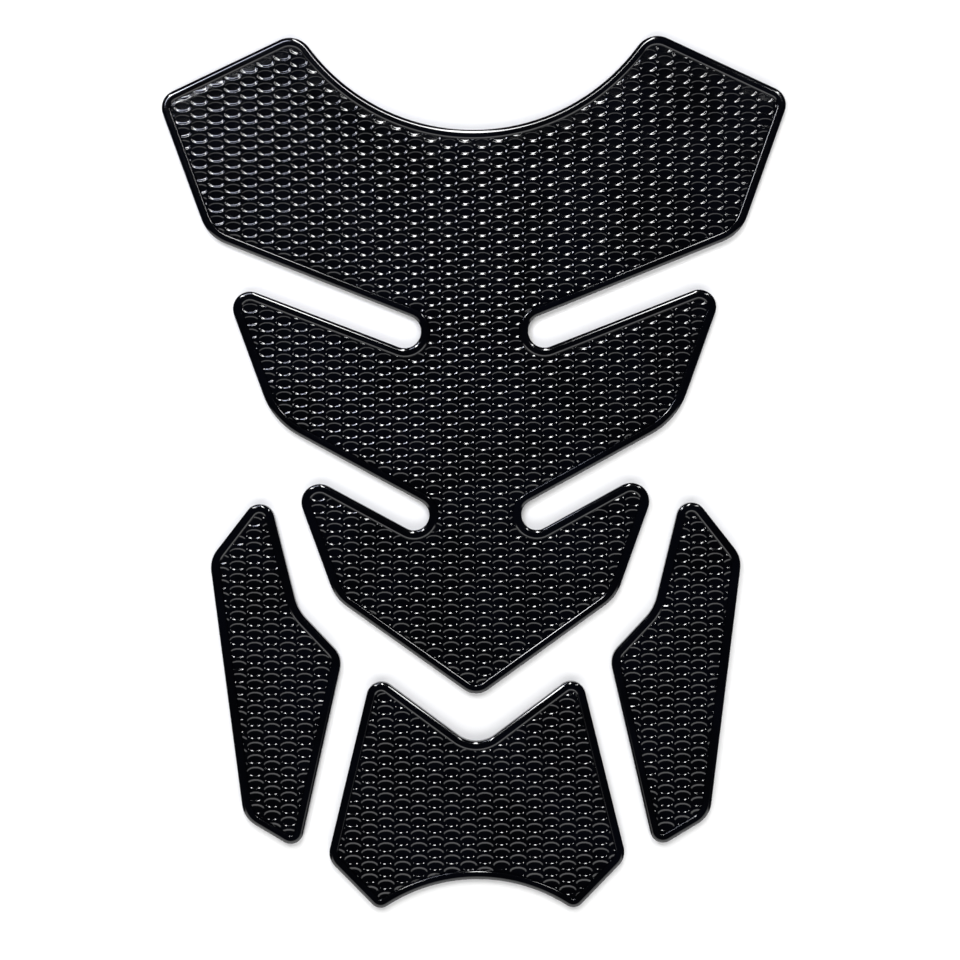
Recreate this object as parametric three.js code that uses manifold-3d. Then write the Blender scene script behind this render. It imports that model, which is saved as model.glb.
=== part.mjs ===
// Motorcycle tank pad: a set of four moulded pads that lie flat on their backs, as they are stuck on a fuel
// tank. Each pad is one solid: a flat back, a straight outer wall, a raised bead round its edge, and inside the
// bead a field of shallow pockets in staggered columns, with narrow ridges between them.
// Units are millimetres and degrees. +X is to the right, +Y up the tank towards the filler cap, and +Z off the
// tank. The origin is on the backs' plane, in the middle of the set.

import * as THREE from "three";
import { mergeVertices } from "three/addons/utils/BufferGeometryUtils.js";
import Module from "manifold-3d";

// Section through a pad: its height from the back to the bead's crest, and how far below the crest the outer
// wall and the ridges end
const padHeight = 2.6;
const bevelDrop = 1.05;
const ridgeDrop = 0.4;
const pocketDepth = 0.4;
// Widths across the bead, from the outline inwards
const bevelWidth = 0.8;
const crestWidth = 0.6;
const innerSlopeWidth = 0.9;

// Pockets: distance between columns, distance between pockets in one column
const columnStep = 4;
const pocketPitch = 3.029;
// A pocket is sunk only where its middle lies at least this far inside the bead's foot
const pocketMargin = 0.7;

// Main pad: three tiers of swept arms. Corner places are those before rounding, x from the centre line.
const outerEdgeAngle = 70.2;
const wingTopX = 42.4;
const wingTopRound = 5.8;
const wingTopAngle = 25.15;
const wingTipX = 76.1;
const wingTipRound = 4.3;
const wingEdgeDrop = 33.2;
const wingHeelRound = 10;
const wingUnderAngle = 21.7;

const upperSlotWidth = 8.4;
const upperSlotEndX = 13.2;

const middleTipX = 61.05;
const middleTipRound = 4.15;
const middleTopAngle = 21.1;
const middleEdgeDrop = 34.4;
const middleHeelRound = 18;
const middleUnderAngle = 28.6;

const lowerSlotWidth = 7.4;
const lowerSlotEndX = 11.6;

const lowerTipX = 45.65;
const lowerTipRound = 4.4;
const lowerTopAngle = 28.6;
const lowerEdgeDrop = 32.6;
const lowerHeelRound = 10.5;
const pointAngle = 35.65;
const pointRound = 4.9;

// Notch round the filler cap, in the top of the main pad
const capNotchAngle = 52.8;
const capNotchRadius = 49.5;

// Tail pad, under the main pad's point
const pointToTail = 12.3;
const tailNotchAngle = 36.75;
const tailNotchRound = 7.25;
const tailTopX = 25.15;
const tailTopRound = 3.55;
const tailSideDrop = 45.3;
const tailFootX = 36.2;
const tailFootRound = 4.65;
const tailToeX = 23.75;
const tailToeDrop = 12.8;
const tailToeRound = 2.8;
const tailArchAngle = 32.5;
const tailArchRadius = 40.75;

// Side pads, one each side: gaps to the main pad and to the tail pad, then their own sizes
const heelToKnee = 9.1;
const kneeDrop = 2.8;
const tipToSideTop = 4.75;
const sideTopDrop = 5.35;
const tailToSideTop = 7.1;
const sideElbowRise = 3.55;
const tailToSideFoot = 6.8;
const sideFootRise = 1.85;
const sideShoulderOut = 13.85;
const sideShoulderDrop = 17.75;
const sideFootWidth = 13.4;
const sideFootAngle = 31;
const kneeRound = 11;
const sideTopRound = 3.6;
const sideShoulderRound = 6.9;
const sideHeelRound = 6.7;
const sideFootRound = 3.1;
const sideElbowRound = 5.4;

// Where a pocket's centre lies in each pad, from the pad's datum corner: the mouldings are not alike in this
const mainPocket = [-columnStep / 2, -1.2];
const tailPocket = [-columnStep / 2, -1.1];
const rightPocket = [6.82, 1.1];
const leftPocket = [-10.48, 1.15];

// Look of the moulded plastic
const padColour = 0x0b0c10;
const padRoughness = 0.16;

// Rounding: a slot's end corners as a share of its width, the share of an edge that its two corners may take
// up, how far a chord may stray from an arc, and the smallest corner radius left inside the bead
const slotEndShare = 0.49;
const edgeShare = 0.998;
const arcSag = 0.13;
const leastRound = 0.3;

// How far the hollow over the pockets is cut past the crest and the pockets' floor
const cutOverlap = 0.2;
// Two corners of the pocket pattern that fall in one square of this grid are one corner
const gridStep = 0.001;

const ridgeZ = padHeight - ridgeDrop;
const floorZ = ridgeZ - pocketDepth;
const crestInset = bevelWidth + crestWidth;
const footInset = crestInset + innerSlopeWidth;

const slopeOf = (degrees) => Math.tan(THREE.MathUtils.degToRad(degrees));
const corner = (x, y, round) => ({ x, y, round });

/** A point on the straight line that leaves a corner at a slope in degrees, at the given x. */
const onSlope = (from, degrees, x) => from.y + (x - from.x) * slopeOf(degrees);

/** The two corners of a slot's closed end, square to the slot and fully rounded. */
function slotEnd(topEdge, topSlope, bottomEdge, bottomSlope, x) {
  const middleSlope = THREE.MathUtils.degToRad((topSlope + bottomSlope) / 2);
  const gap = onSlope(topEdge, topSlope, x) - onSlope(bottomEdge, bottomSlope, x);
  const width = gap * Math.cos(middleSlope);
  const lean = (width / 2) * Math.sin(middleSlope);
  const upperX = x - lean;
  const lowerX = x + lean;
  const round = slotEndShare * width;
  return {
    upper: corner(upperX, onSlope(topEdge, topSlope, upperX), round),
    lower: corner(lowerX, onSlope(bottomEdge, bottomSlope, lowerX), round),
  };
}

/** A corner at the given x, on the line that runs parallel to another edge and a slot's width below it. */
function acrossSlot(edge, slope, width, x, round) {
  const drop = width / Math.cos(THREE.MathUtils.degToRad(slope));
  return corner(x, onSlope(edge, slope, x) - drop, round);
}

/** The lower end of an arm's outer edge. */
const heelOf = (tip, drop, round) => corner(tip.x - drop / slopeOf(outerEdgeAngle), tip.y - drop, round);

// Corners of the main pad's right half
const wingTop = corner(wingTopX, 0, wingTopRound);
const wingTip = corner(wingTipX, onSlope(wingTop, -wingTopAngle, wingTipX), wingTipRound);
const wingHeel = heelOf(wingTip, wingEdgeDrop, wingHeelRound);
const middleTip = acrossSlot(wingHeel, wingUnderAngle, upperSlotWidth, middleTipX, middleTipRound);
const middleHeel = heelOf(middleTip, middleEdgeDrop, middleHeelRound);
const lowerTip = acrossSlot(middleHeel, middleUnderAngle, lowerSlotWidth, lowerTipX, lowerTipRound);
const lowerHeel = heelOf(lowerTip, lowerEdgeDrop, lowerHeelRound);
const point = corner(0, onSlope(lowerHeel, pointAngle, 0), pointRound);
const capNotch = corner(0, onSlope(wingTop, capNotchAngle, 0), capNotchRadius);
const upperSlot = slotEnd(wingHeel, wingUnderAngle, middleTip, middleTopAngle, upperSlotEndX);
const lowerSlot = slotEnd(middleHeel, middleUnderAngle, lowerTip, lowerTopAngle, lowerSlotEndX);

// Corners of the tail pad's right half
const tailNotch = corner(0, point.y - pointToTail, tailNotchRound);
const tailTop = corner(tailTopX, onSlope(tailNotch, tailNotchAngle, tailTopX), tailTopRound);
const tailFoot = corner(tailFootX, tailTop.y - tailSideDrop, tailFootRound);
const tailToe = corner(tailToeX, tailFoot.y - tailToeDrop, tailToeRound);
const tailArch = corner(0, onSlope(tailToe, -tailArchAngle, 0), tailArchRadius);

// Corners of the right side pad
const knee = corner(lowerHeel.x + heelToKnee, lowerHeel.y - kneeDrop, kneeRound);
const sideTop = corner(lowerTip.x + tipToSideTop, lowerTip.y - sideTopDrop, sideTopRound);
const sideShoulder = corner(sideTop.x + sideShoulderOut, sideTop.y - sideShoulderDrop, sideShoulderRound);
const sideElbow = corner(tailTop.x + tailToSideTop, tailTop.y + sideElbowRise, sideElbowRound);
const sideFoot = corner(tailFoot.x + tailToSideFoot, tailFoot.y + sideFootRise, sideFootRound);
const sideHeelX = sideFoot.x + sideFootWidth;
const sideHeel = corner(sideHeelX, onSlope(sideFoot, sideFootAngle, sideHeelX), sideHeelRound);

/** The same corners on the other side of the centre line, still counter-clockwise. */
const mirrored = (corners) => corners.map(({ x, y, round }) => corner(-x, y, round)).reverse();

/** A whole outline from its bottom corner, its right side going up and its top corner. */
const wholeOutline = (bottom, side, top) => [bottom, ...side, top, ...mirrored(side)];

const mainSide = [
  lowerHeel, lowerTip, lowerSlot.lower, lowerSlot.upper,
  middleHeel, middleTip, upperSlot.lower, upperSlot.upper,
  wingHeel, wingTip, wingTop,
];
const mainOutline = wholeOutline(point, mainSide, capNotch);
const tailOutline = wholeOutline(tailArch, [tailToe, tailFoot, tailTop], tailNotch);
const rightOutline = [sideFoot, sideHeel, sideShoulder, sideTop, knee, sideElbow];
const leftOutline = mirrored(rightOutline);

/** The corners of a closed outline with the turn at each, and rounds that fit on the edges between them. */
function fittedCorners(corners) {
  const count = corners.length;
  const sharp = corners.map(({ x, y }) => new THREE.Vector2(x, y));
  const edges = sharp.map((from, k) => sharp[(k + 1) % count].clone().sub(from));
  const turns = edges.map((after, k) => {
    const before = edges[(k + count - 1) % count];
    return Math.atan2(before.cross(after), before.dot(after));
  });
  const taken = corners.map(({ round }, k) => round * Math.abs(Math.tan(turns[k] / 2)));
  const fit = edges.map((edge, k) => {
    const bothTaken = taken[k] + taken[(k + 1) % count];
    return Math.min(1, (edgeShare * edge.length()) / bothTaken);
  });
  return corners.map(({ round }, k) => {
    const last = (k + count - 1) % count;
    return {
      place: sharp[k],
      before: edges[last].clone().normalize(),
      turn: turns[k],
      round: round * Math.min(fit[last], fit[k]),
    };
  });
}

/** The points of an outline with rounded corners, at a distance inside it. All insets have as many points. */
function outlineLoop(corners, inset) {
  const points = [];
  for (const { place, before, turn, round } of fittedCorners(corners)) {
    const steps = Math.ceil(Math.abs(turn) / (2 * Math.acos(1 - arcSag / round)));
    // The arc's centre is inside a convex corner and outside a hollow one, on the line that halves the corner
    const side = Math.sign(turn);
    const radius = Math.max(round - side * inset, leastRound);
    const normal = new THREE.Vector2(-before.y, before.x);
    const reach = (inset + side * radius) * Math.tan(turn / 2);
    const centre = place.clone()
      .addScaledVector(normal, inset + side * radius)
      .addScaledVector(before, -reach);
    const start = Math.atan2(-side * normal.y, -side * normal.x);
    for (let step = 0; step <= steps; step++) {
      const angle = start + (turn * step) / steps;
      const direction = new THREE.Vector2(Math.cos(angle), Math.sin(angle));
      points.push(centre.clone().addScaledVector(direction, radius));
    }
  }
  return points;
}

const wasm = await Module();
wasm.setup();

/** A closed solid from a flat list of triangle corners. */
function solidFrom(corners) {
  const places = corners.flatMap(({ x, y, z }) => [x, y, z]);
  const soup = new THREE.BufferGeometry();
  soup.setAttribute("position", new THREE.Float32BufferAttribute(places, 3));
  const merged = mergeVertices(soup);
  return new wasm.Manifold(new wasm.Mesh({
    numProp: 3,
    vertProperties: new Float32Array(merged.attributes.position.array),
    triVerts: new Uint32Array(merged.index.array),
  }));
}

/** A solid through loops of equally many points, stacked upwards. Each level has an inset and a height. */
function stackedLoops(outline, levels) {
  const loops = levels.map(({ inset, height }) =>
    outlineLoop(outline, inset).map(({ x, y }) => new THREE.Vector3(x, y, height)));
  const corners = [];
  for (let level = 1; level < loops.length; level++) {
    const [low, high] = [loops[level - 1], loops[level]];
    low.forEach((point, k) => {
      const next = (k + 1) % low.length;
      corners.push(point, low[next], high[next], point, high[next], high[k]);
    });
  }
  const bottom = loops[0];
  const top = loops.at(-1);
  for (const [a, b, c] of THREE.ShapeUtils.triangulateShape(bottom, [])) {
    corners.push(bottom[c], bottom[b], bottom[a]);
  }
  for (const [a, b, c] of THREE.ShapeUtils.triangulateShape(top, [])) {
    corners.push(top[a], top[b], top[c]);
  }
  return solidFrom(corners);
}

/** Whether a point lies inside a closed loop, by the crossings of a line that runs from it along +X. */
function isInside(loop, x, y) {
  return loop.reduce((inside, from, k) => {
    const to = loop[(k + 1) % loop.length];
    const spans = (from.y > y) !== (to.y > y);
    return spans && x < from.x + ((to.x - from.x) * (y - from.y)) / (to.y - from.y) ? !inside : inside;
  }, false);
}

/** A slab whose top is the pocket pattern. It covers one loop, and has a six-sided pocket wherever a pocket's
 * middle lies in the other loop. */
function pocketSlab(cover, pocketed, [startX, startY], bottomZ) {
  const box = new THREE.Box2().setFromPoints(cover);
  const halfPitch = pocketPitch / 2;
  const sideReach = (columnStep ** 2 + halfPitch ** 2) / (2 * columnStep);
  const topReach = columnStep - sideReach;
  const ring = [[sideReach, 0], [topReach, halfPitch], [-topReach, halfPitch],
    [-sideReach, 0], [-topReach, -halfPitch], [topReach, -halfPitch]];
  const corners = [];
  const openEdges = new Map();
  const keyOf = (p) => `${Math.round(p.x / gridStep)} ${Math.round(p.y / gridStep)}`;
  const firstColumn = Math.floor((box.min.x - startX) / columnStep) - 1;
  const lastColumn = Math.ceil((box.max.x - startX) / columnStep) + 1;
  for (let column = firstColumn; column <= lastColumn; column++) {
    const x = startX + column * columnStep;
    const columnY = startY + (column % 2 ? halfPitch : 0);
    const firstRow = Math.floor((box.min.y - columnY) / pocketPitch) - 1;
    const lastRow = Math.ceil((box.max.y - columnY) / pocketPitch) + 1;
    for (let row = firstRow; row <= lastRow; row++) {
      const y = columnY + row * pocketPitch;
      const low = new THREE.Vector3(x, y, isInside(pocketed, x, y) ? floorZ : ridgeZ);
      const under = new THREE.Vector3(x, y, bottomZ);
      const crest = ring.map(([dx, dy]) => new THREE.Vector3(x + dx, y + dy, ridgeZ));
      crest.forEach((from, k) => {
        const to = crest[(k + 1) % crest.length];
        corners.push(low, from, to);
        corners.push(under, to.clone().setZ(bottomZ), from.clone().setZ(bottomZ));
        const twin = `${keyOf(to)} ${keyOf(from)}`;
        if (!openEdges.delete(twin)) openEdges.set(`${keyOf(from)} ${keyOf(to)}`, [from, to]);
      });
    }
  }
  for (const [from, to] of openEdges.values()) {
    const [fromFoot, toFoot] = [from.clone().setZ(bottomZ), to.clone().setZ(bottomZ)];
    corners.push(fromFoot, toFoot, to, fromFoot, to, from);
  }
  return solidFrom(corners);
}

/** One pad: the beaded blank, less the hollow over its pocket field. */
function padSolid(outline, pocketStart) {
  // The bead's inner slope is carried on past the crest and the floor, so that the cut leaves no thin skins
  const overrun = (cutOverlap * innerSlopeWidth) / (padHeight - floorZ);
  const blank = stackedLoops(outline, [
    { inset: 0, height: 0 },
    { inset: 0, height: padHeight - bevelDrop },
    { inset: bevelWidth, height: padHeight },
  ]);
  const hollow = stackedLoops(outline, [
    { inset: footInset + overrun, height: floorZ - cutOverlap },
    { inset: crestInset - overrun, height: padHeight + cutOverlap },
  ]);
  const cover = outlineLoop(outline, crestInset);
  const pocketed = outlineLoop(outline, footInset + pocketMargin);
  const slab = pocketSlab(cover, pocketed, pocketStart, floorZ - 2 * cutOverlap);
  return blank.subtract(hollow.subtract(slab));
}

/** A manifold solid as a three.js geometry. */
function geometryOf(solid) {
  const { vertProperties, triVerts } = solid.getMesh();
  const geometry = new THREE.BufferGeometry();
  geometry.setAttribute("position", new THREE.BufferAttribute(new Float32Array(vertProperties), 3));
  geometry.setIndex(new THREE.BufferAttribute(new Uint32Array(triVerts), 1));
  geometry.computeVertexNormals();
  return geometry;
}

/** A pocket's place from the corner that its pad is laid out from. */
const pocketAt = (datum, [dx, dy]) => [datum.x + dx, datum.y + dy];

const pads = [
  ["main_pad", mainOutline, pocketAt(corner(0, wingTop.y), mainPocket)],
  ["tail_pad", tailOutline, pocketAt(tailNotch, tailPocket)],
  ["right_side_pad", rightOutline, pocketAt(sideFoot, rightPocket)],
  ["left_side_pad", leftOutline, pocketAt(corner(-sideFoot.x, sideFoot.y), leftPocket)],
];

// The outlines are laid out from the wing tops, and the whole set is then centred on the origin
const extent = new THREE.Box2().setFromPoints(pads.flatMap(([, outline]) => outlineLoop(outline, 0)));
const middle = extent.getCenter(new THREE.Vector2());

const group = new THREE.Group();
for (const [name, outline, pocketStart] of pads) {
  const look = { color: padColour, roughness: padRoughness, metalness: 0 };
  const solid = padSolid(outline, pocketStart);
  const pad = new THREE.Mesh(geometryOf(solid), new THREE.MeshStandardMaterial(look));
  pad.name = name;
  pad.position.set(-middle.x, -middle.y, 0);
  group.add(pad);
}

export default group;
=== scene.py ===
"""The motorcycle tank pad, dressed: four moulded pads of gloss black plastic on a pale floor.

Each pad is a closed mesh with a rounded bead round its edge and, inside it, a field of shallow dished pockets
in staggered columns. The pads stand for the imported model's four plain solids and take their places from it.
Sizes inside the classes are millimetres and degrees, and each finished mesh is scaled to metres.
"""

import logging
import math
from dataclasses import dataclass, field
from enum import Enum
from typing import Any, Sequence

import bmesh
import bpy
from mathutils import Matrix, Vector
from mathutils.bvhtree import BVHTree


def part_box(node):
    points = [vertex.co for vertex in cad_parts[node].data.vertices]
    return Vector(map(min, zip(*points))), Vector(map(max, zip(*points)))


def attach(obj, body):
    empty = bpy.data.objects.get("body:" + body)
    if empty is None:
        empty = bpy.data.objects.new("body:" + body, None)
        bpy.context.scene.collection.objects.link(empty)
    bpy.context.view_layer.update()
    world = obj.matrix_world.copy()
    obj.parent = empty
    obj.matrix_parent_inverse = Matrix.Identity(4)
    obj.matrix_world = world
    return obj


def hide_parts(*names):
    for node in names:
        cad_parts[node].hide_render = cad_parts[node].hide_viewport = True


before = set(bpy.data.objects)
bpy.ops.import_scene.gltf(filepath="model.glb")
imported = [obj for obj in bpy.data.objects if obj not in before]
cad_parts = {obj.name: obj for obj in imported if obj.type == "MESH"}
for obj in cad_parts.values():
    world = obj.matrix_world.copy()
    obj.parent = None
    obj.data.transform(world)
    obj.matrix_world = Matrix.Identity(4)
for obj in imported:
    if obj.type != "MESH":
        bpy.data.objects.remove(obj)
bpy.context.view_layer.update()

MM = 0.001
PLASTIC_SLOT = "pad_plastic"
BODY = "root"
log = logging.getLogger("tank_pad")


class Hand(Enum):
    """Which side of the centre line a side pad lies on, as seen from the front."""

    RIGHT = 1
    LEFT = -1


# Outlines


@dataclass(frozen=True)
class Corner:
    """One corner of an outline before it is rounded.

    Args:
        x: Distance from the centre line.
        y: Height up the tank, from the level of the wing tops.
        radius: Radius that the corner is rounded to.
    """

    x: float
    y: float
    radius: float

    def height_at(self, angle: float, x: float) -> float:
        """The height at x of the line that leaves this corner at an angle to the horizontal."""
        return self.y + (x - self.x) * math.tan(math.radians(angle))

    def on_line(self, angle: float, x: float, radius: float) -> "Corner":
        """The next corner, at x on the line that leaves this corner at an angle."""
        return Corner(x, self.height_at(angle, x), radius)

    def across_slot(self, angle: float, width: float, x: float, radius: float) -> "Corner":
        """A corner at x, on the line that runs a slot's width below this corner's edge."""
        return Corner(x, self.height_at(angle, x) - width / math.cos(math.radians(angle)), radius)

    def mirrored(self) -> "Corner":
        """The same corner on the other side of the centre line."""
        return Corner(-self.x, self.y, self.radius)


def slot_end(top: Corner, top_angle: float, bottom: Corner, bottom_angle: float, x: float) -> list[Corner]:
    """The two corners of a slot's closed end, square to the slot and fully rounded.

    Args:
        top: A corner on the slot's upper edge.
        top_angle: The upper edge's slope.
        bottom: A corner on the slot's lower edge.
        bottom_angle: The lower edge's slope.
        x: Where the slot's middle line ends.

    Returns:
        The lower corner and the upper corner, in the order of the outline.
    """
    rounded_share = 0.49
    slope = math.radians((top_angle + bottom_angle) / 2)
    width = (top.height_at(top_angle, x) - bottom.height_at(bottom_angle, x)) * math.cos(slope)
    lean = width / 2 * math.sin(slope)
    radius = rounded_share * width
    return [bottom.on_line(bottom_angle, x + lean, radius), top.on_line(top_angle, x - lean, radius)]


def both_sides(bottom: Corner, side: Sequence[Corner], top: Corner) -> list[Corner]:
    """All corners, counter-clockwise, of an outline whose right side is given from the bottom up."""
    return [bottom, *side, top, *(corner.mirrored() for corner in reversed(side))]


@dataclass(frozen=True)
class Arc:
    """One rounded corner of an outline, ready to be spun.

    Args:
        place: The sharp corner that the arc replaces.
        before: Direction of the edge that comes in.
        turn: Angle from that edge to the next, positive to the left.
        radius: The arc's radius on the outline itself.
    """

    place: Vector
    before: Vector
    turn: float
    radius: float


@dataclass
class Outline:
    """A closed outline with rounded corners.

    Args:
        corners: Its corners, counter-clockwise.
        edge_share: The share of an edge that its two corners may take up.
        sag: How far a chord may stray from its arc.
        least_radius: The smallest radius that an inset leaves.
    """

    corners: list[Corner]
    edge_share: float = 0.99
    sag: float = 0.012
    least_radius: float = 0.3

    def arcs(self) -> list[Arc]:
        """Rounds the corners, with radii that fit on the edges between them.

        Returns:
            One arc for each corner, in the outline's order.
        """
        places = [Vector((corner.x, corner.y)) for corner in self.corners]
        edges = [places[(k + 1) % len(places)] - place for k, place in enumerate(places)]
        turns = [edges[k - 1].angle_signed(edge) * -1 for k, edge in enumerate(edges)]
        taken = [corner.radius * abs(math.tan(turn / 2)) for corner, turn in zip(self.corners, turns)]
        fits = [min(1.0, self.edge_share * edge.length / (taken[k] + taken[(k + 1) % len(taken)]))
                for k, edge in enumerate(edges)]
        return [Arc(places[k], edges[k - 1].normalized(), turns[k], corner.radius * min(fits[k - 1], fits[k]))
                for k, corner in enumerate(self.corners)]

    def face(self, mesh: bmesh.types.BMesh, inset: float, height: float) -> bmesh.types.BMFace:
        """Spins the outline's arcs, joins them and fills the loop.

        Args:
            mesh: The mesh to draw in.
            inset: Distance inside the outline.
            height: Height above the pad's back.

        Returns:
            The filled face, which looks up.
        """
        chains = [self._spun(mesh, arc, inset, height) for arc in self.arcs()]
        for chain, following in zip(chains, chains[1:] + chains[:1]):
            mesh.edges.new((chain[-1], following[0]))
        return mesh.faces.new([vert for chain in chains for vert in chain])

    def _spun(self, mesh: bmesh.types.BMesh, arc: Arc, inset: float,
              height: float) -> list[bmesh.types.BMVert]:
        """Spins one rounded corner out of a single vertex.

        Args:
            mesh: The mesh to draw in.
            arc: The corner.
            inset: Distance inside the outline.
            height: Height above the pad's back.

        Returns:
            The arc's vertices in order.
        """
        side = math.copysign(1, arc.turn)
        radius = max(arc.radius - side * inset, self.least_radius)
        normal = Vector((-arc.before.y, arc.before.x))
        reach = (inset + side * radius) * math.tan(arc.turn / 2)
        centre = arc.place + normal * (inset + side * radius) - arc.before * reach
        steps = math.ceil(abs(arc.turn) / (2 * math.acos(1 - self.sag / arc.radius)))
        first = mesh.verts.new((*(centre - normal * side * radius), height))
        already = set(mesh.verts)
        bmesh.ops.spin(mesh, geom=[first], cent=(*centre, height), axis=(0, 0, 1), angle=arc.turn,
                       steps=steps, use_merge=False, use_duplicate=False)
        return [first, *(vert for vert in mesh.verts if vert not in already)]

    def highest(self) -> float:
        """Finds how far up the outline reaches.

        Returns:
            The height of its highest point.
        """
        mesh = bmesh.new()
        top = max(vert.co.y for vert in self.face(mesh, 0, 0).verts)
        mesh.free()
        return top


# The moulded form


@dataclass(frozen=True)
class Bead:
    """The rounded bead round a pad's edge, as a section from the outline inwards.

    Args:
        height: Crest of the bead over the back.
        crest_inset: How far inside the outline the flat crest begins.
        crest_width: Width of the flat crest.
        crown_rise: How much of the height is the rounded outer crown.
        crown_steps: Steps round the outer crown.
        shoulder_width: Width of the rounding from the crest to the inner slope.
        slope_angle: Steepness of the inner slope.
        slope_width: Width of the straight inner slope, down to where the tray's floor hides.
        shoulder_steps: Steps round the inner rounding.
        hidden_inset: Where the pocket slab ends, out of sight inside the bead.
        foot_inset: Where the inner slope meets the pocket field.
    """

    height: float = 2.6
    crest_inset: float = 0.9
    crest_width: float = 0.85
    crown_rise: float = 0.45
    crown_steps: int = 9
    shoulder_width: float = 0.38
    slope_angle: float = 62.0
    slope_width: float = 0.32
    shoulder_steps: int = 4
    hidden_inset: float = 1.7
    foot_inset: float = 2.3

    def section(self) -> list[tuple[float, float]]:
        """Draws the section, from the top of the outer wall to the foot of the inner slope.

        Returns:
            Its points, each an inset and a height.
        """
        wall_top = self.height - self.crown_rise
        quarter = math.pi / 2
        crown = [(self.crest_inset * (1 - math.cos(quarter * k / self.crown_steps)),
                  wall_top + self.crown_rise * math.sin(quarter * k / self.crown_steps))
                 for k in range(self.crown_steps + 1)]
        slope = math.radians(self.slope_angle)
        bend = self.shoulder_width / math.sin(slope)
        shoulder = [(self.crest_inset + self.crest_width + bend * math.sin(slope * k / self.shoulder_steps),
                     self.height - bend * (1 - math.cos(slope * k / self.shoulder_steps)))
                    for k in range(1, self.shoulder_steps + 1)]
        inset, height = shoulder[-1]
        foot = (inset + self.slope_width, height - self.slope_width * math.tan(slope))
        return [*crown, (self.crest_inset + self.crest_width, self.height), *shoulder, foot]

    def tray(self, outline: Outline) -> bmesh.types.BMesh:
        """Builds the beaded blank with a plain sunken floor.

        Args:
            outline: The pad's outline.

        Returns:
            A closed mesh in millimetres.
        """
        mesh = bmesh.new()
        back = outline.face(mesh, 0, 0)
        section = self.section()
        lid = raised(mesh, back, section[0][1])
        for (inset, height), (next_inset, next_height) in zip(section, section[1:]):
            bmesh.ops.inset_region(mesh, faces=[lid], thickness=next_inset - inset,
                                   depth=next_height - height, use_even_offset=True, use_boundary=True)
        bmesh.ops.recalc_face_normals(mesh, faces=mesh.faces)
        return mesh


def raised(mesh: bmesh.types.BMesh, face: bmesh.types.BMFace, rise: float) -> bmesh.types.BMFace:
    """Extrudes a flat face upwards and keeps the old one as the bottom.

    Args:
        mesh: The mesh that holds the face.
        face: The face.
        rise: How far up.

    Returns:
        The new top face.
    """
    made = bmesh.ops.extrude_face_region(mesh, geom=[face], use_keep_orig=True)["geom"]
    lid = next(item for item in made if isinstance(item, bmesh.types.BMFace))
    bmesh.ops.translate(mesh, verts=lid.verts, vec=(0, 0, rise))
    return lid


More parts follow.
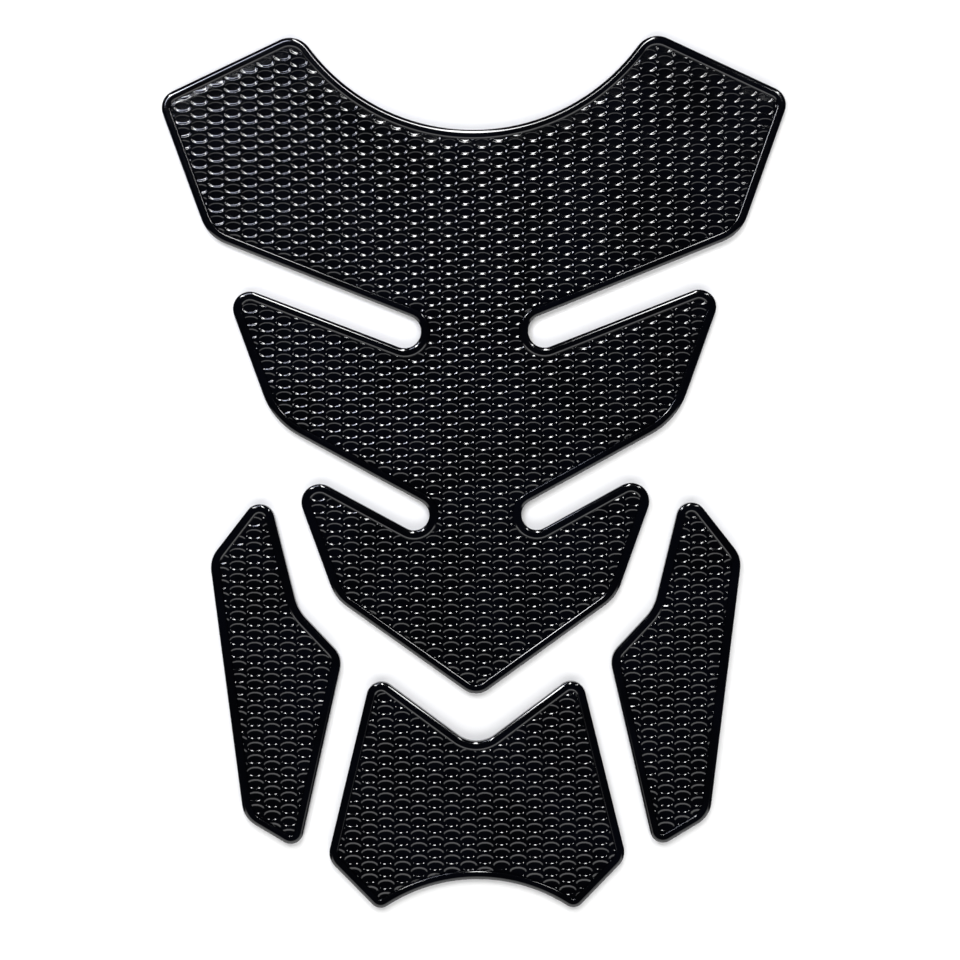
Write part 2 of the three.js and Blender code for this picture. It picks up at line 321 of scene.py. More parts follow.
@dataclass(frozen=True)
class Pockets:
    """The moulded pockets: six-sided cells with a narrow ridge between them and an oval dish in each.

    Args:
        column_step: Distance between columns.
        pitch: Distance between pockets in a column.
        ridge_height: Ridges over the pad's back.
        band_angle: Slope of the band that runs round the dish.
        band_start: Where the band starts, as a distance from the ridge.
        band_end: Where it ends.
        floor_angle: Slope of the dish's floor beside the band.
        rings: Where the dish's rings lie, as distances from the ridge.
        end_gain: How much longer a dish is than ridges of one width would leave it.
        gutter_depth: How much the field dips beside the bead.
        gutter_width: How far from the bead's foot it dips.
        slab_bottom: Underside of the pocket slab, inside the pad.
        first_inset: How far a new ring is inset before it is moved to its place.
        weld: Vertices of neighbouring cells that lie closer than this become one.
        probe_height: Height of the thin wall that distances from the bead are measured to.
    """

    column_step: float = 4.0
    pitch: float = 3.029
    ridge_height: float = 2.2
    band_angle: float = 17.0
    band_start: float = 0.30
    band_end: float = 0.58
    floor_angle: float = 2.0
    rings: tuple[float, ...] = (0.21, 0.30, 0.39, 0.49, 0.58, 0.80)
    end_gain: float = 0.155
    gutter_depth: float = 0.06
    gutter_width: float = 1.8
    slab_bottom: float = 1.0
    first_inset: float = 0.03
    weld: float = 0.003
    probe_height: float = 0.22

    def half_widths(self) -> tuple[float, float]:
        """Works out a cell's shape from the columns' step and the pitch.

        Returns:
            Half of its width across the side corners, and half of its top edge.
        """
        half_pitch = self.pitch / 2
        side = (self.column_step ** 2 + half_pitch ** 2) / (2 * self.column_step)
        return side, self.column_step - side

    def depth_at(self, reach: float) -> float:
        """Depth of the dish at a distance from the ridge.

        Args:
            reach: Distance from the ridge.

        Returns:
            The depth there.
        """
        in_band = min(max(reach - self.band_start, 0.0), self.band_end - self.band_start)
        on_floor = max(reach - self.band_end, 0.0)
        band_fall = math.tan(math.radians(self.band_angle))
        floor_fall = math.tan(math.radians(self.floor_angle))
        return in_band * band_fall + on_floor * floor_fall

    def cell(self, mesh: bmesh.types.BMesh, x: float, y: float) -> None:
        """Models one cell: a six-sided rim, with rings inset and rounded towards the dish's floor.

        Args:
            mesh: The mesh to build in.
            x: Middle of the cell.
            y: Middle of the cell.
        """
        side, top = self.half_widths()
        half_pitch = self.pitch / 2
        upper_rim = [(side, 0), (top, half_pitch), (-top, half_pitch)]
        rim = upper_rim + [(-dx, -dy) for dx, dy in upper_rim]
        posts = [mesh.verts.new((x + dx, y + dy, self.ridge_height)) for dx, dy in rim]
        ridges = [mesh.edges.new(ends) for ends in zip(posts, posts[1:] + posts[:1])]
        level = [edge for edge in ridges if abs(edge.verts[0].co.y - edge.verts[1].co.y) < half_pitch / 2]
        slanted = [edge for edge in ridges if edge not in level]
        bmesh.ops.subdivide_edges(mesh, edges=level, cuts=2)
        bmesh.ops.subdivide_edges(mesh, edges=slanted, cuts=1)
        rim_edges = [edge for edge in mesh.edges if edge.is_wire]
        dish = bmesh.ops.edgeloop_fill(mesh, edges=rim_edges)["faces"][0]
        turns = [math.atan2((vert.co.y - y) / half_pitch, (vert.co.x - x) / side) for vert in dish.verts]
        for reach in self.rings:
            bmesh.ops.inset_region(mesh, faces=[dish], thickness=self.first_inset, use_even_offset=True,
                                   use_boundary=True)
            across, along = side + self.end_gain - reach, half_pitch - reach
            height = self.ridge_height - self.depth_at(reach)
            for vert, turn in zip(dish.verts, turns):
                vert.co = (x + across * math.cos(turn), y + along * math.sin(turn), height)

    def slab(self, low: Vector, high: Vector, start: Vector) -> bpy.types.Object:
        """Repeats the cells over a rectangle and closes them into a slab.

        Args:
            low: The rectangle's lower left corner.
            high: Its upper right corner.
            start: Middle of one pocket.

        Returns:
            A mesh object in millimetres.
        """
        two_columns = 2 * self.column_step
        first_x = start.x - two_columns * (math.ceil((start.x - low.x) / two_columns) + 1)
        first_y = start.y - self.pitch * (math.ceil((start.y - low.y) / self.pitch) + 1)
        mesh = bmesh.new()
        self.cell(mesh, first_x, first_y)
        self.cell(mesh, first_x + self.column_step, first_y + self.pitch / 2)
        bmesh.ops.remove_doubles(mesh, verts=mesh.verts, dist=self.weld)
        tile = new_object("pocket_slab", mesh)
        for count, step in ((math.ceil((high.y - first_y) / self.pitch) + 1, (0, self.pitch, 0)),
                            (math.ceil((high.x - first_x) / two_columns) + 1, (two_columns, 0, 0))):
            repeat = tile.modifiers.new("repeat", "ARRAY")
            repeat.count = count
            repeat.use_relative_offset = False
            repeat.use_constant_offset = True
            repeat.constant_offset_displace = step
            repeat.use_merge_vertices = True
            repeat.merge_threshold = self.weld
        return self._closed(tile)

    def _closed(self, tile: bpy.types.Object) -> bpy.types.Object:
        """Extrudes the tile's open edge down and fills its underside.

        Args:
            tile: The tile, with its Array modifiers live.

        Returns:
            The same object with a closed mesh and no modifiers.
        """
        mesh = bmesh.new()
        repeated = tile.evaluated_get(bpy.context.evaluated_depsgraph_get())
        mesh.from_mesh(bpy.data.meshes.new_from_object(repeated))
        rim = [edge for edge in mesh.edges if edge.is_boundary]
        made = bmesh.ops.extrude_edge_only(mesh, edges=rim)["geom"]
        for item in made:
            if isinstance(item, bmesh.types.BMVert):
                item.co.z = self.slab_bottom
        bmesh.ops.edgeloop_fill(mesh, edges=[item for item in made if isinstance(item, bmesh.types.BMEdge)])
        bmesh.ops.recalc_face_normals(mesh, faces=mesh.faces)
        tile.modifiers.clear()
        mesh.to_mesh(tile.data)
        mesh.free()
        return tile

    def dip(self, slab: bpy.types.Object, outline: Outline, foot_inset: float) -> None:
        """Lets the field dip a little beside the bead.

        Args:
            slab: The pocket slab.
            outline: The pad's outline.
            foot_inset: How far inside the outline the bead's foot runs.
        """
        wall = bmesh.new()
        outline.face(wall, foot_inset, 0)
        raised(wall, wall.faces[:][0], self.probe_height)
        caps = [face for face in wall.faces if round(abs(face.normal.z)) == 1]
        bmesh.ops.delete(wall, geom=caps, context="FACES_ONLY")
        nearest = BVHTree.FromBMesh(wall)
        wall.free()
        for vert in slab.data.vertices:
            if vert.co.z > self.slab_bottom + self.gutter_depth:
                reach = nearest.find_nearest((vert.co.x, vert.co.y, 0))[3]
                share = max(0.0, 1 - reach / self.gutter_width)
                vert.co.z -= self.gutter_depth * share * share


def new_object(name: str, mesh: bmesh.types.BMesh) -> bpy.types.Object:
    """Puts a finished bmesh into the scene.

    Args:
        name: The object's name.
        mesh: The mesh, which is freed.

    Returns:
        The new object.
    """
    data = bpy.data.meshes.new(name)
    mesh.to_mesh(data)
    mesh.free()
    made = bpy.data.objects.new(name, data)
    bpy.context.scene.collection.objects.link(made)
    return made


class Cut(Enum):
    """What a boolean leaves of two solids."""

    COMMON = "INTERSECT"
    BOTH = "UNION"


def combined(solid: bpy.types.Object, other: bpy.types.Object, cut: Cut) -> bpy.types.Object:
    """Cuts or joins two solids, and removes the second.

    Args:
        solid: The solid that keeps its name.
        other: The second solid.
        cut: What is left of them.

    Returns:
        The first object with its new mesh.
    """
    work = solid.modifiers.new("cut", "BOOLEAN")
    work.operation = cut.value
    work.solver = "MANIFOLD"
    work.object = other
    bpy.context.view_layer.update()
    made = bpy.data.meshes.new_from_object(solid.evaluated_get(bpy.context.evaluated_depsgraph_get()))
    solid.modifiers.clear()
    solid.data = made
    bpy.data.objects.remove(other)
    return solid


# Finishes


class Shade:
    """A shader socket that Python's operators work on. Each operation adds its Math node."""

    def __init__(self, paint: "Paint", socket: bpy.types.NodeSocket) -> None:
        """Wraps an output socket of a node tree."""
        self.paint = paint
        self.socket = socket

    def _math(self, operation: str, first: Any, second: Any) -> "Shade":
        """Adds one Math node and gives its result."""
        return self.paint.node("ShaderNodeMath", {"operation": operation}, {0: first, 1: second})

    def __add__(self, other: Any) -> "Shade":
        """The sum."""
        return self._math("ADD", self, other)

    def __radd__(self, other: Any) -> "Shade":
        """The sum, with a number first."""
        return self._math("ADD", other, self)

    def __sub__(self, other: Any) -> "Shade":
        """The difference."""
        return self._math("SUBTRACT", self, other)

    def __rsub__(self, other: Any) -> "Shade":
        """The difference, with a number first."""
        return self._math("SUBTRACT", other, self)

    def __mul__(self, other: Any) -> "Shade":
        """The product."""
        return self._math("MULTIPLY", self, other)

    def __rmul__(self, other: Any) -> "Shade":
        """The product, with a number first."""
        return self._math("MULTIPLY", other, self)

    def size(self) -> "Shade":
        """The value without its sign."""
        return self._math("ABSOLUTE", self, 0.0)

    def eased(self, low: float, high: float, start: float = 0.0, end: float = 1.0) -> "Shade":
        """A smooth step from the value start to the value end, as this value goes from low to high."""
        settings = {"interpolation_type": "SMOOTHSTEP"}
        return self.paint.node("ShaderNodeMapRange", settings, {0: self, 1: low, 2: high, 3: start, 4: end})


class Paint:
    """A node tree that is filled through one method."""

    def __init__(self, tree: bpy.types.NodeTree) -> None:
        """Takes a material's or the world's node tree and empties it."""
        self.tree = tree
        self.tree.nodes.clear()

    def node(self, kind: str, settings: dict[str, Any] | None = None, inputs: dict[Any, Any] | None = None,
             output: int | str = 0) -> Shade:
        """Adds a node.

        Args:
            kind: The node's type.
            settings: Its own settings, such as a Math node's operation, which are set first.
            inputs: Values or links for its sockets, by name or number.
            output: Which output is wanted.

        Returns:
            The wanted output.
        """
        made = self.tree.nodes.new(kind)
        for name, value in (settings or {}).items():
            setattr(made, name, value)
        for name, value in (inputs or {}).items():
            if isinstance(value, Shade):
                self.tree.links.new(value.socket, made.inputs[name])
            else:
                made.inputs[name].default_value = value
        return Shade(self, made.outputs[output] if made.outputs else None)

    def coordinates(self, kind: str) -> Shade:
        """One of the Texture Coordinate node's outputs."""
        return self.node("ShaderNodeTexCoord", output=kind)


@dataclass(frozen=True)
class GlossPlastic:
    """Moulded black plastic with a high gloss.

    Args:
        colour: The plastic's own colour.
        shade_colour: The colour that it drifts to in faint flow patches.
        patch_scale: Flow patches to a metre.
        patch_detail: How finely they break up.
        patch_edges: Where in the noise a patch begins and is full.
        sharp_roughness: Roughness of the best moulded surface.
        dull_roughness: Roughness where the mould's polish was thinner.
        polish_scale: Changes of polish to a metre.
        polish_detail: How finely they break up.
        polish_edges: Where in the noise the polish begins to thin and is at its thinnest.
        ripple_scale: Ripples of the moulded skin to a metre.
        ripple_detail: How finely they break up.
        ripple_height: Height of those ripples, in metres.
        ior: Refractive index.
    """

    colour: tuple[float, float, float, float] = (0.0007, 0.0009, 0.0020, 1.0)
    shade_colour: tuple[float, float, float, float] = (0.0004, 0.0005, 0.0010, 1.0)
    patch_scale: float = 60.0
    patch_detail: float = 3.0
    patch_edges: tuple[float, float] = (0.35, 0.65)
    sharp_roughness: float = 0.06
    dull_roughness: float = 0.09
    polish_scale: float = 220.0
    polish_detail: float = 4.0
    polish_edges: tuple[float, float] = (0.35, 0.7)
    ripple_scale: float = 420.0
    ripple_detail: float = 2.0
    ripple_height: float = 0.0000004
    ior: float = 1.5

    def material(self, name: str) -> bpy.types.Material:
        """Makes the material.

        Args:
            name: The material's name.

        Returns:
            The material.
        """
        made = bpy.data.materials.new(name)
        made.use_nodes = True
        paint = Paint(made.node_tree)
        place = paint.coordinates("Object")
        patches = self._noise(paint, place, self.patch_scale, self.patch_detail)
        # The Mix node's colour sockets share their names with others, so they are told apart by number
        colour = paint.node("ShaderNodeMix", {"data_type": "RGBA"}, {
            0: patches.eased(*self.patch_edges),
            6: self.shade_colour,
            7: self.colour,
        }, output=2)
        polish = self._noise(paint, place, self.polish_scale, self.polish_detail)
        ripples = self._noise(paint, place, self.ripple_scale, self.ripple_detail)
        bump = paint.node("ShaderNodeBump", None,
                          {"Strength": 1.0, "Distance": self.ripple_height, "Height": ripples})
        surface = paint.node("ShaderNodeBsdfPrincipled", None, {
            "Base Color": colour,
            "Roughness": polish.eased(*self.polish_edges, self.sharp_roughness, self.dull_roughness),
            "IOR": self.ior,
            "Normal": bump,
        })
        paint.node("ShaderNodeOutputMaterial", None, {"Surface": surface})
        return made

    def _noise(self, paint: Paint, place: Shade, scale: float, detail: float) -> Shade:
        """A noise that runs over the pads."""
        return paint.node("ShaderNodeTexNoise", None, {"Vector": place, "Scale": scale, "Detail": detail})


@dataclass(frozen=True)
class PaleFloor:
    """A plain matt floor in a pale colour.

    Args:
        colour: Its colour.
    """

    colour: tuple[float, float, float, float] = (0.80, 0.80, 0.80, 1.0)

    def material(self) -> bpy.types.Material:
        """Makes the floor's material.

        Returns:
            The material.
        """
        made = bpy.data.materials.new("pale_floor")
        made.use_nodes = True
        paint = Paint(made.node_tree)
        matt = paint.node("ShaderNodeBsdfDiffuse", None, {"Color": self.colour})
        paint.node("ShaderNodeOutputMaterial", None, {"Surface": matt})
        return made


# The pads


@dataclass
class Pad:
    """One moulded pad, from its outline to its dressed mesh.

    Args:
        name: The pad's name.
        node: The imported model's node that it stands for.
        bead: The bead round its edge.
        pockets: The pockets inside the bead.
        sharp_angle: Edges that bend more than this are drawn sharp.
        weld: Vertices that the boolean leaves closer than this become one.
    """

    name: str
    node: str
    bead: Bead = field(default_factory=Bead)
    pockets: Pockets = field(default_factory=Pockets)
    sharp_angle: float = 38.0
    weld: float = 0.0006

    def corners(self) -> list[Corner]:
        """The outline's corners, counter-clockwise. Each pad gives its own."""
        raise NotImplementedError

    def pocket_start(self) -> Vector:
        """Middle of one pocket. Each pad gives its own."""
        raise NotImplementedError

    def build(self, lift: float) -> bpy.types.Object:
        """Models the pad and puts it in its place.

        Args:
            lift: How far up the tank the layout's zero line lies in the frame, in millimetres.

        Returns:
            The finished object, in metres.
        """
        outline = Outline(self.corners())
        pad = new_object(self.name, self.bead.tray(outline))
        across = [corner.x for corner in outline.corners]
        along = [corner.y for corner in outline.corners]
        low, high = Vector((min(across), min(along))), Vector((max(across), max(along)))
        slab = self.pockets.slab(low, high, self.pocket_start())
        self.pockets.dip(slab, outline, self.bead.foot_inset)
        combined(slab, self._core(outline), Cut.COMMON)
        combined(pad, slab, Cut.BOTH)
        self._finish(pad, lift)
        return pad

    def _core(self, outline: Outline) -> bpy.types.Object:
        """A block inside the bead that the pocket slab is trimmed to.

        Args:
            outline: The pad's outline.

        Returns:
            The block.
        """
        mesh = bmesh.new()
        bottom = self.pockets.slab_bottom / 2
        raised(mesh, outline.face(mesh, self.bead.hidden_inset, bottom), self.bead.height)
        bmesh.ops.recalc_face_normals(mesh, faces=mesh.faces)
        return new_object("pad_core", mesh)

    def _finish(self, pad: bpy.types.Object, lift: float) -> None:
        """Welds, scales and places the mesh, and sets its smooth and sharp edges.

        Args:
            pad: The joined pad, in millimetres.
            lift: How far up the tank the layout's zero line lies in the frame.
        """
        mesh = bmesh.new()
        mesh.from_mesh(pad.data)
        bmesh.ops.remove_doubles(mesh, verts=mesh.verts, dist=self.weld)
        bmesh.ops.translate(mesh, verts=mesh.verts, vec=(0, lift, 0))
        bmesh.ops.scale(mesh, verts=mesh.verts, vec=(MM, MM, MM))
        for face in mesh.faces:
            face.smooth = True
        mesh.to_mesh(pad.data)
        mesh.free()
        pad.data.set_sharp_from_angle(angle=math.radians(self.sharp_angle))

    def dress(self, pad: bpy.types.Object, finish: bpy.types.Material) -> None:
        """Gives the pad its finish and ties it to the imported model.

        Args:
            pad: The finished object.
            finish: Its material.
        """
        pad.data.materials.clear()
        pad.data.materials.append(finish)
        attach(pad, BODY)
        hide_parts(self.node)


@dataclass
class MainPad(Pad):
    """The large pad: three tiers of swept arms, with a notch for the filler cap at the top.

    Args:
        outer_edge_angle: Slope of the outer edges of all the arms.
        wing_top_x: Where the wing's highest corner stands.
        wing_top_radius: That corner's radius.
        wing_top_angle: How steeply the wing's top edge falls.
        wing_tip_x: Where the wing's tip stands.
        wing_tip_radius: The tip's radius.
        wing_edge_drop: How far down the wing's outer edge goes.
        wing_heel_radius: Radius of the heel at its lower end.
        wing_under_angle: Slope of the wing's lower edge.
        upper_slot_width: Width of the slot below the wing.
        upper_slot_end_x: Where that slot ends.
        middle_tip_x: Where the middle arm's tip stands.
        middle_tip_radius: The tip's radius.
        middle_top_angle: Slope of the middle arm's top edge.
        middle_edge_drop: How far down its outer edge goes.
        middle_heel_radius: Radius of the heel at its lower end.
        middle_under_angle: Slope of its lower edge.
        lower_slot_width: Width of the slot below the middle arm.
        lower_slot_end_x: Where that slot ends.
        lower_tip_x: Where the lower arm's tip stands.
        lower_tip_radius: The tip's radius.
        lower_top_angle: Slope of the lower arm's top edge.
        lower_edge_drop: How far down its outer edge goes.
        lower_heel_radius: Radius of the heel at its lower end.
        point_angle: Slope of the edges that meet in the point.
        point_radius: The point's radius.
        cap_notch_angle: Slope of the notch's sides before they are rounded.
        cap_notch_radius: Radius of the filler cap notch.
        pocket_rise: How far over the wing's top one pocket's middle lies.
    """

    outer_edge_angle: float = 70.2
    wing_top_x: float = 42.4
    wing_top_radius: float = 5.8
    wing_top_angle: float = 25.15
    wing_tip_x: float = 76.1
    wing_tip_radius: float = 4.3
    wing_edge_drop: float = 33.2
    wing_heel_radius: float = 10.0
    wing_under_angle: float = 21.7
    upper_slot_width: float = 8.4
    upper_slot_end_x: float = 13.2
    middle_tip_x: float = 61.05
    middle_tip_radius: float = 4.15
    middle_top_angle: float = 21.1
    middle_edge_drop: float = 34.4
    middle_heel_radius: float = 18.0
    middle_under_angle: float = 28.6
    lower_slot_width: float = 7.4
    lower_slot_end_x: float = 11.6
    lower_tip_x: float = 45.65
    lower_tip_radius: float = 4.4
    lower_top_angle: float = 28.6
    lower_edge_drop: float = 32.6
    lower_heel_radius: float = 10.5
    point_angle: float = 35.65
    point_radius: float = 4.9
    cap_notch_angle: float = 52.8
    cap_notch_radius: float = 49.5
    pocket_rise: float = -1.2

    def _heel(self, tip: Corner, drop: float, radius: float) -> Corner:
        """The lower end of an arm's outer edge, so far below the arm's tip."""
        return Corner(tip.x - drop / math.tan(math.radians(self.outer_edge_angle)), tip.y - drop, radius)

    def wing_top(self) -> Corner:
        """The highest corner, from which the whole set is laid out."""
        return Corner(self.wing_top_x, 0.0, self.wing_top_radius)

    def wing(self) -> tuple[Corner, Corner]:
        """The wing's tip and heel."""
        tip = self.wing_top().on_line(-self.wing_top_angle, self.wing_tip_x, self.wing_tip_radius)
        return tip, self._heel(tip, self.wing_edge_drop, self.wing_heel_radius)

    def middle_arm(self) -> tuple[Corner, Corner]:
        """The middle arm's tip and heel."""
        tip = self.wing()[1].across_slot(self.wing_under_angle, self.upper_slot_width,
                                         self.middle_tip_x, self.middle_tip_radius)
        return tip, self._heel(tip, self.middle_edge_drop, self.middle_heel_radius)

    def lower_arm(self) -> tuple[Corner, Corner]:
        """The lower arm's tip and heel."""
        tip = self.middle_arm()[1].across_slot(self.middle_under_angle, self.lower_slot_width,
                                               self.lower_tip_x, self.lower_tip_radius)
        return tip, self._heel(tip, self.lower_edge_drop, self.lower_heel_radius)

    def point(self) -> Corner:
        """The point at the bottom."""
        return self.lower_arm()[1].on_line(self.point_angle, 0.0, self.point_radius)

    def corners(self) -> list[Corner]:
        """Lays out the pad.

        Returns:
            The outline's corners, counter-clockwise.
        """
        wing_tip, wing_heel = self.wing()
        middle_tip, middle_heel = self.middle_arm()
        lower_tip, lower_heel = self.lower_arm()
        upper_slot = slot_end(wing_heel, self.wing_under_angle, middle_tip, self.middle_top_angle,
                              self.upper_slot_end_x)
        lower_slot = slot_end(middle_heel, self.middle_under_angle, lower_tip, self.lower_top_angle,
                              self.lower_slot_end_x)
        side = [lower_heel, lower_tip, *lower_slot, middle_heel, middle_tip, *upper_slot,
                wing_heel, wing_tip, self.wing_top()]
        notch = self.wing_top().on_line(self.cap_notch_angle, 0.0, self.cap_notch_radius)
        return both_sides(self.point(), side, notch)

    def pocket_start(self) -> Vector:
        """Middle of one pocket, half a column off the centre line."""
        return Vector((-self.pockets.column_step / 2, self.pocket_rise))


@dataclass
class TailPad(Pad):
    """The small pad under the main pad's point, with a V notch over it and an arch under it.

    Args:
        main: The main pad, which this one follows.
        point_gap: Distance from the main pad's point to the V notch.
        notch_angle: Slope of the notch's sides.
        notch_radius: The notch's radius.
        top_x: Where the right horn stands.
        top_radius: The horn's radius.
        side_drop: How far down the side goes.
        foot_x: Where the side's lower corner stands.
        foot_radius: That corner's radius.
        toe_x: Where the toe stands.
        toe_drop: How far the toe lies below the side's lower corner.
        toe_radius: The toe's radius.
        arch_angle: Slope of the arch's sides before they are rounded.
        arch_radius: The arch's radius.
        pocket_rise: How far over the notch one pocket's middle lies.
    """

    main: MainPad = field(kw_only=True)
    point_gap: float = 12.3
    notch_angle: float = 36.75
    notch_radius: float = 7.25
    top_x: float = 25.15
    top_radius: float = 3.55
    side_drop: float = 45.3
    foot_x: float = 36.2
    foot_radius: float = 4.65
    toe_x: float = 23.75
    toe_drop: float = 12.8
    toe_radius: float = 2.8
    arch_angle: float = 32.5
    arch_radius: float = 40.75
    pocket_rise: float = -1.1

    def notch(self) -> Corner:
        """The V notch's lowest corner."""
        return Corner(0.0, self.main.point().y - self.point_gap, self.notch_radius)

    def top(self) -> Corner:
        """The right horn's corner."""
        return self.notch().on_line(self.notch_angle, self.top_x, self.top_radius)

    def foot(self) -> Corner:
        """The right side's lower corner."""
        return Corner(self.foot_x, self.top().y - self.side_drop, self.foot_radius)

    def corners(self) -> list[Corner]:
        """Lays out the pad.

        Returns:
            The outline's corners, counter-clockwise.
        """
        toe = Corner(self.toe_x, self.foot().y - self.toe_drop, self.toe_radius)
        arch = toe.on_line(-self.arch_angle, 0.0, self.arch_radius)
        return both_sides(arch, [toe, self.foot(), self.top()], self.notch())

    def pocket_start(self) -> Vector:
        """Middle of one pocket, half a column off the centre line."""
        return Vector((-self.pockets.column_step / 2, self.notch().y + self.pocket_rise))


@dataclass
class SidePad(Pad):
    """A narrow pad beside the main pad's lower arm. The left one is the right one mirrored.

    Args:
        main: The main pad, which this one follows.
        tail: The tail pad, which it follows too.
        hand: Which side it lies on.
        pocket_offset: From the foot to one pocket's middle, across and up.
        heel_to_knee: From the lower arm's heel out to the knee.
        knee_drop: How far the knee lies below that heel.
        knee_radius: The knee's radius.
        tip_to_top: From the lower arm's tip out to the pad's top.
        top_drop: How far the top lies below that tip.
        top_radius: The top's radius.
        shoulder_out: From the top out to the shoulder.
        shoulder_drop: How far the shoulder lies below the top.
        shoulder_radius: The shoulder's radius.
        tail_to_elbow: From the tail pad's horn out to the elbow.
        elbow_rise: How far the elbow lies over that horn.
        elbow_radius: The elbow's radius.
        tail_to_foot: From the tail pad's lower corner out to the foot.
        foot_rise: How far the foot lies over that corner.
        foot_radius: The foot's radius.
        foot_width: From the foot out to the heel.
        foot_angle: Slope of the edge from the foot to the heel.
        heel_radius: The heel's radius.
    """

    main: MainPad = field(kw_only=True)
    tail: TailPad = field(kw_only=True)
    hand: Hand = field(kw_only=True)
    pocket_offset: tuple[float, float] = field(kw_only=True)
    heel_to_knee: float = 9.1
    knee_drop: float = 2.8
    knee_radius: float = 11.0
    tip_to_top: float = 4.75
    top_drop: float = 5.35
    top_radius: float = 3.6
    shoulder_out: float = 13.85
    shoulder_drop: float = 17.75
    shoulder_radius: float = 6.9
    tail_to_elbow: float = 7.1
    elbow_rise: float = 3.55
    elbow_radius: float = 5.4
    tail_to_foot: float = 6.8
    foot_rise: float = 1.85
    foot_radius: float = 3.1
    foot_width: float = 13.4
    foot_angle: float = 31.0
    heel_radius: float = 6.7

    def foot(self) -> Corner:
        """The right side pad's lowest corner."""
        tail_foot = self.tail.foot()
        return Corner(tail_foot.x + self.tail_to_foot, tail_foot.y + self.foot_rise, self.foot_radius)

    def corners(self) -> list[Corner]:
        """Lays out the pad.

        Returns:
            The outline's corners, counter-clockwise.
        """
        lower_tip, lower_heel = self.main.lower_arm()
        tail_top = self.tail.top()
        foot = self.foot()
        heel = foot.on_line(self.foot_angle, foot.x + self.foot_width, self.heel_radius)
        top = Corner(lower_tip.x + self.tip_to_top, lower_tip.y - self.top_drop, self.top_radius)
        shoulder = Corner(top.x + self.shoulder_out, top.y - self.shoulder_drop, self.shoulder_radius)
        knee = Corner(lower_heel.x + self.heel_to_knee, lower_heel.y - self.knee_drop, self.knee_radius)
        elbow = Corner(tail_top.x + self.tail_to_elbow, tail_top.y + self.elbow_rise, self.elbow_radius)
        right = [foot, heel, shoulder, top, knee, elbow]
        return right if self.hand is Hand.RIGHT else [corner.mirrored() for corner in reversed(right)]

    def pocket_start(self) -> Vector:
        """Middle of one pocket, from the pad's foot."""
        across, rise = self.pocket_offset
        return Vector((self.hand.value * self.foot().x + across, self.foot().y + rise))


# The studio


@dataclass(frozen=True)
class Lamp:
    """One soft lamp, aimed at the middle of the set.

    Args:
        name: Its name.
        azimuth: Its direction round the set, from +X towards +Y.
        zenith: Its angle from straight overhead.
        distance: Its distance in metres.
        size: Its width and height in metres.
        power: Its power in watts.
        colour: Its colour.
    """

    name: str
    azimuth: float
    zenith: float
    distance: float
    size: tuple[float, float]
    power: float
    colour: tuple[float, float, float] = (1.0, 1.0, 1.0)

    def place(self) -> bpy.types.Object:
        """Makes the lamp and hangs it.

        Returns:
            The lamp, aimed at the middle of the set.
        """
        data = bpy.data.lights.new(self.name, "AREA")
        data.shape = "RECTANGLE"
        data.size, data.size_y = self.size
        data.energy = self.power
        data.color = self.colour
        azimuth, zenith = math.radians(self.azimuth), math.radians(self.zenith)
        away = Vector((math.cos(azimuth), math.sin(azimuth), 0)) * math.sin(zenith)
        away.z = math.cos(zenith)
        made = bpy.data.objects.new(self.name, data)
        made.location = away * self.distance
        made.rotation_euler = away.to_track_quat("Z", "Y").to_euler()
        made.visible_camera = False
        bpy.context.scene.collection.objects.link(made)
        return made


@dataclass(frozen=True)
class Surround:
    """The studio's walls: bright in front of the set, dark over it and behind it.

    Args:
        front_light: Brightness of the wall in front, at its top.
        foot_light: Its brightness lower down.
        rest_light: Brightness of everything else.
        start: How far from overhead the front wall begins, in degrees.
        full: Where the wall's top edge ends, in degrees.
        foot: Where it reaches its foot's brightness, in degrees.
        side_share: How fast it ends towards the sides.
        side_blur: How softly it ends there.
        colour: Colour of the walls, and of the backdrop that the camera sees.
    """

    front_light: float = 1.7
    foot_light: float = 2.5
    rest_light: float = 0.015
    start: float = 20.0
    full: float = 23.0
    foot: float = 45.0
    side_share: float = 0.5
    side_blur: float = 0.12
    colour: tuple[float, float, float, float] = (1.0, 1.0, 1.0, 1.0)

    def paint_world(self) -> None:
        """Paints the world."""
        world = bpy.data.worlds.new("studio")
        world.use_nodes = True
        bpy.context.scene.world = world
        paint = Paint(world.node_tree)
        direction = paint.coordinates("Generated")
        axes = paint.node("ShaderNodeSeparateXYZ", None, {0: direction})
        across = Shade(paint, axes.socket.node.outputs["X"])
        along = Shade(paint, axes.socket.node.outputs["Y"])
        up = Shade(paint, axes.socket.node.outputs["Z"])
        low = up.eased(math.cos(math.radians(self.full)), math.cos(math.radians(self.start)), 1.0, 0.0)
        front = (along * -1.0 - across.size() * self.side_share).eased(0.0, self.side_blur)
        wall = up.eased(math.cos(math.radians(self.foot)), math.cos(math.radians(self.full)),
                        self.foot_light, self.front_light)
        light = low * front * wall + self.rest_light
        seen = paint.node("ShaderNodeLightPath", output="Is Camera Ray")
        strength = light * (1.0 - seen) + seen
        background = paint.node("ShaderNodeBackground", None, {"Color": self.colour, "Strength": strength})
        paint.node("ShaderNodeOutputWorld", None, {"Surface": background})


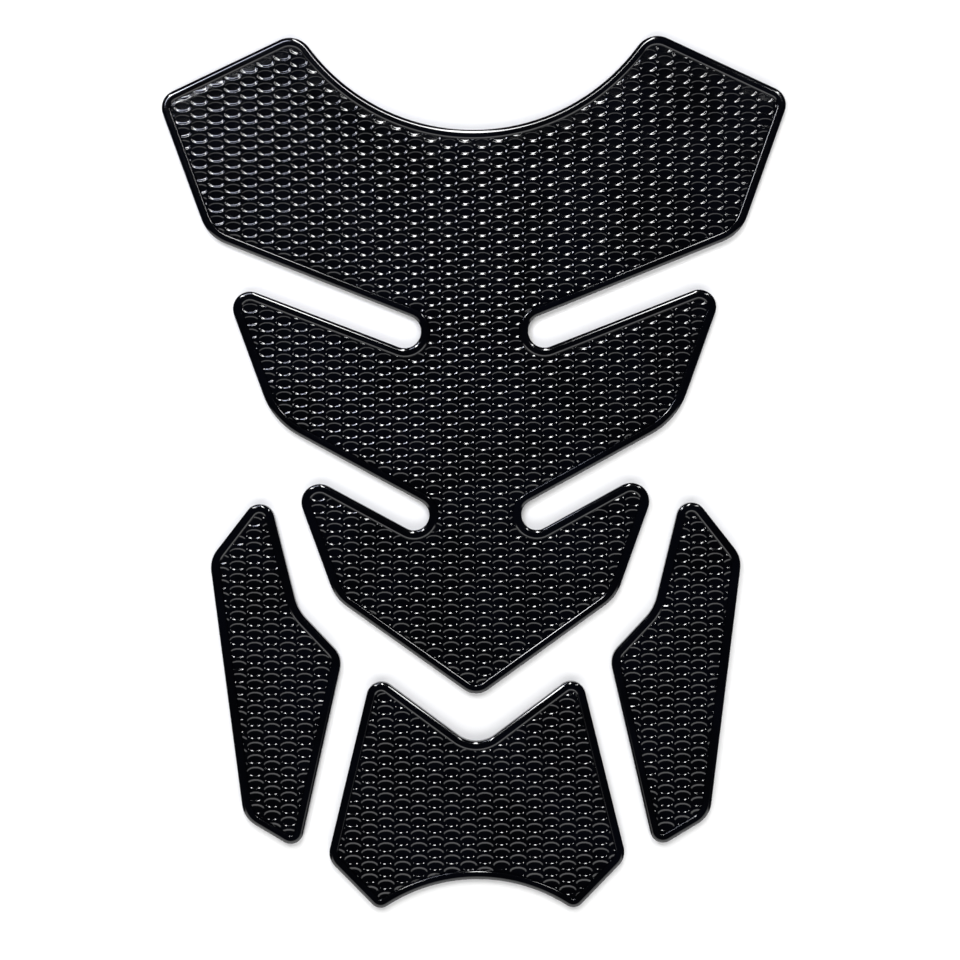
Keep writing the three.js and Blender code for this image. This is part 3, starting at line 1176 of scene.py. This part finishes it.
@dataclass(frozen=True)
class Studio:
    """The floor, the lamps and the walls.

    Args:
        floor_size: Width of the floor in metres.
        floor_drop: How far the floor lies under the pads' backs, in metres.
        lamps: The lamps.
        surround: The walls.
    """

    floor_size: float = 6.0
    floor_drop: float = 0.00002
    lamps: tuple[Lamp, ...] = (
        Lamp("key_lamp", azimuth=90.0, zenith=32.0, distance=1.4, size=(0.10, 0.76), power=9.6),
        Lamp("right_lamp", azimuth=50.0, zenith=31.0, distance=1.4, size=(0.05, 0.60), power=3.0),
        Lamp("left_lamp", azimuth=130.0, zenith=31.0, distance=1.4, size=(0.06, 0.60), power=5.0),
        Lamp("soft_box", azimuth=124.0, zenith=38.0, distance=0.32, size=(0.10, 0.03), power=0.24,
             colour=(0.78, 0.82, 1.0)),
    )
    surround: Surround = field(default_factory=Surround)

    def set_up(self) -> None:
        """Lays the floor and places the lamps and the walls."""
        mesh = bmesh.new()
        bmesh.ops.create_grid(mesh, x_segments=1, y_segments=1, size=self.floor_size / 2)
        bmesh.ops.translate(mesh, verts=mesh.verts, vec=(0, 0, -self.floor_drop))
        floor = new_object("floor", mesh)
        floor.data.materials.append(PaleFloor().material())
        for lamp in self.lamps:
            lamp.place()
        self.surround.paint_world()
        bpy.context.scene.view_settings.view_transform = "Standard"


@dataclass(frozen=True)
class PhotoCamera:
    """The photograph's camera: almost straight overhead. Places are in metres.

    Args:
        place: Where the camera stands.
        tilt: Its turns about X, Y and Z, in degrees.
        lens: Its focal length in millimetres.
        sensor: The sensor's width in millimetres.
        nearest: Things closer than this aren't drawn.
    """

    place: tuple[float, float, float] = (0.0046, 0.0134, 0.600)
    tilt: tuple[float, float, float] = (-1.4257, 0.3238, -0.2442)
    lens: float = 92.96
    sensor: float = 36.0
    nearest: float = 0.01

    def set_up(self) -> None:
        """Makes the camera and makes it the scene's own."""
        data = bpy.data.cameras.new("photo_camera")
        data.lens = self.lens
        data.sensor_width = self.sensor
        data.clip_start = self.nearest
        camera = bpy.data.objects.new("photo_camera", data)
        camera.location = self.place
        camera.rotation_euler = [math.radians(angle) for angle in self.tilt]
        bpy.context.scene.collection.objects.link(camera)
        bpy.context.scene.camera = camera


def main() -> None:
    """Builds the pads, the studio and the camera."""
    logging.basicConfig(level=logging.INFO, format="%(name)s: %(message)s")
    PhotoCamera().set_up()
    Studio().set_up()
    main_pad = MainPad("main_tank_pad", "main_pad")
    tail_pad = TailPad("tail_tank_pad", "tail_pad", main=main_pad)
    right_pad = SidePad("right_side_tank_pad", "right_side_pad", main=main_pad, tail=tail_pad,
                        hand=Hand.RIGHT, pocket_offset=(6.82, 1.1))
    left_pad = SidePad("left_side_tank_pad", "left_side_pad", main=main_pad, tail=tail_pad,
                       hand=Hand.LEFT, pocket_offset=(-10.48, 1.15))
    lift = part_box(main_pad.node)[1].y / MM - Outline(main_pad.corners()).highest()
    plastic = GlossPlastic().material(PLASTIC_SLOT)
    for pad in (main_pad, tail_pad, right_pad, left_pad):
        made = pad.build(lift)
        pad.dress(made, plastic)
        made.data.calc_loop_triangles()
        log.info("%s: %d triangles", made.name, len(made.data.loop_triangles))
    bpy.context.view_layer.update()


if __name__ == "__main__":
    main()
